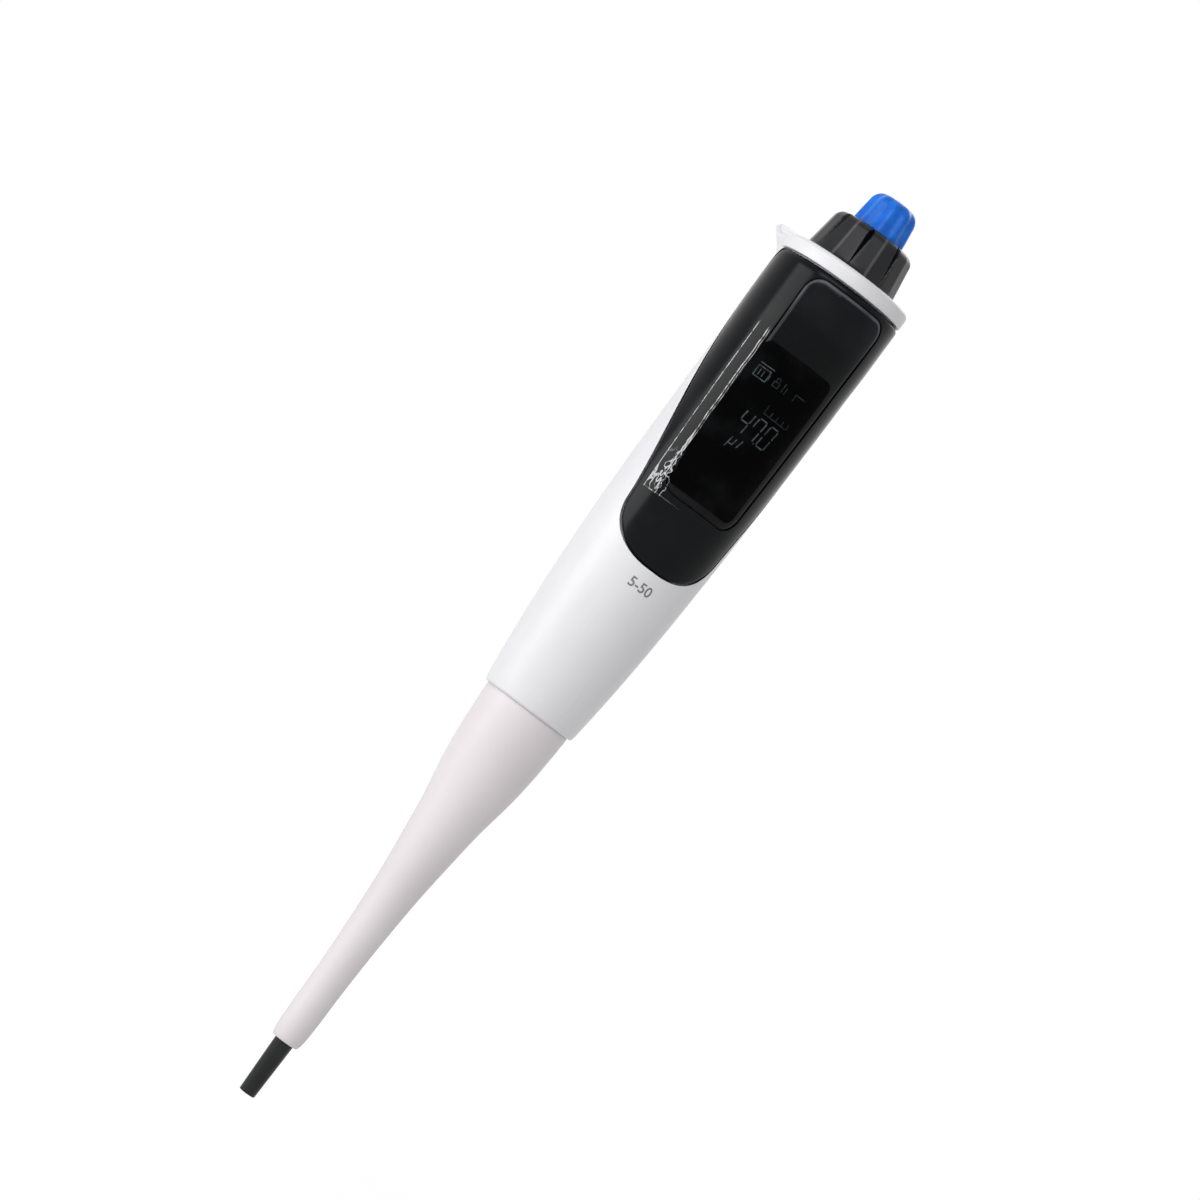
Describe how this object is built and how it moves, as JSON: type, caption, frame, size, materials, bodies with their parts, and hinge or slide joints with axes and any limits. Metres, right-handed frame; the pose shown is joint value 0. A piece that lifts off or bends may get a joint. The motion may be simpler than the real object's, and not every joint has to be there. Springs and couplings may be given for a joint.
{
  "type": "electronic pipette",
  "caption": "Single-channel air-displacement pipette: white handle with finger hook, black front cover with display, fluted volume dial, push button and tip ejector.",
  "frame": {"origin": "on the pipette's axis, level with the underside of the finger hook where a stand's fork carries it, 0.226 m above the nozzle end", "axes": "+Z along the pipette's axis towards the operating button, -Y towards the display side, +Y towards the finger hook"},
  "size_m": [0.033, 0.0449, 0.2534],
  "materials": {
    "shell_white": "satin",
    "sleeve_white": "satin",
    "cover_black": "gloss",
    "lens": "gloss",
    "lcd": "gloss",
    "inner_plastic": "matte",
    "dark_plastic": "satin",
    "dial_black": "satin",
    "cone_black": "satin",
    "button_blue": "satin",
    "board": "satin",
    "steel": "satin",
    "aluminium": "satin",
    "brass": "satin",
    "rubber": "matte",
    "seal": "satin",
    "ceramic": "polished"
  },
  "bodies": {
    "housing": {"back_shell": "shell_white", "front_cover": "cover_black", "display_lens": "lens", "lcd_panel": "lcd", "lcd_frame": "inner_plastic", "circuit_board": "board", "code_reader": "dark_plastic", "coin_cell": "steel", "cell_clip": "steel", "top_plate": "shell_white", "bearing_plate": "aluminium", "chassis": "aluminium", "thread_nut": "brass", "coupling_nut": "inner_plastic", "tip_cone": "cone_black", "o_ring": "rubber", "piston_seal": "seal", "seal_retainer": "aluminium", "spring_seat": "inner_plastic", "blowout_plate": "steel", "blowout_spring": "steel", "piston_spring": "steel", "ejector_spring": "steel", "bearing_screw_1": "steel", "bearing_screw_2": "steel", "bearing_screw_3": "steel", "bearing_screw_4": "steel", "plate_screw_1": "steel", "plate_screw_2": "steel", "plate_screw_3": "steel"},
    "dial": {"volume_dial": "dial_black", "dial_sleeve": "aluminium", "code_disc": "steel", "dial_retainer": "steel"},
    "stop": {"stop_screw": "brass"},
    "plunger": {"push_button": "button_blue", "control_rod": "steel", "stop_collar": "steel", "piston_driver": "inner_plastic", "piston": "ceramic"},
    "ejector": {"ejector_sleeve": "sleeve_white", "ejector_bar": "steel", "ejector_ring": "inner_plastic", "ejector_button": "dark_plastic"}
  },
  "joints": [
    {"name": "dial_turn", "type": "hinge", "parent": "housing", "child": "dial", "pos_m": [0, 0, 0.009], "axis": [0, 0, 1], "range_deg": [-1512, 108]},
    {"name": "stop_travel", "type": "slide", "parent": "dial", "child": "stop", "axis": [0, 0, 1], "range_m": [-0.00334, 0.00024]},
    {"name": "plunger_press", "type": "slide", "parent": "stop", "child": "plunger", "axis": [0, 0, 1], "range_m": [-0.00574, 0], "stiffness_N_per_m": 250, "springref_m": 0.004, "deforming": ["piston_spring"]},
    {"name": "eject_press", "type": "slide", "parent": "housing", "child": "ejector", "axis": [0, 0, 1], "range_m": [-0.008, 0], "stiffness_N_per_m": 400, "springref_m": 0.003, "deforming": ["ejector_spring"]}
  ],
  "couplings": [
    {"joint": "dial_turn", "follows": "stop_travel", "rad_per_m": 7895.7}
  ]
}
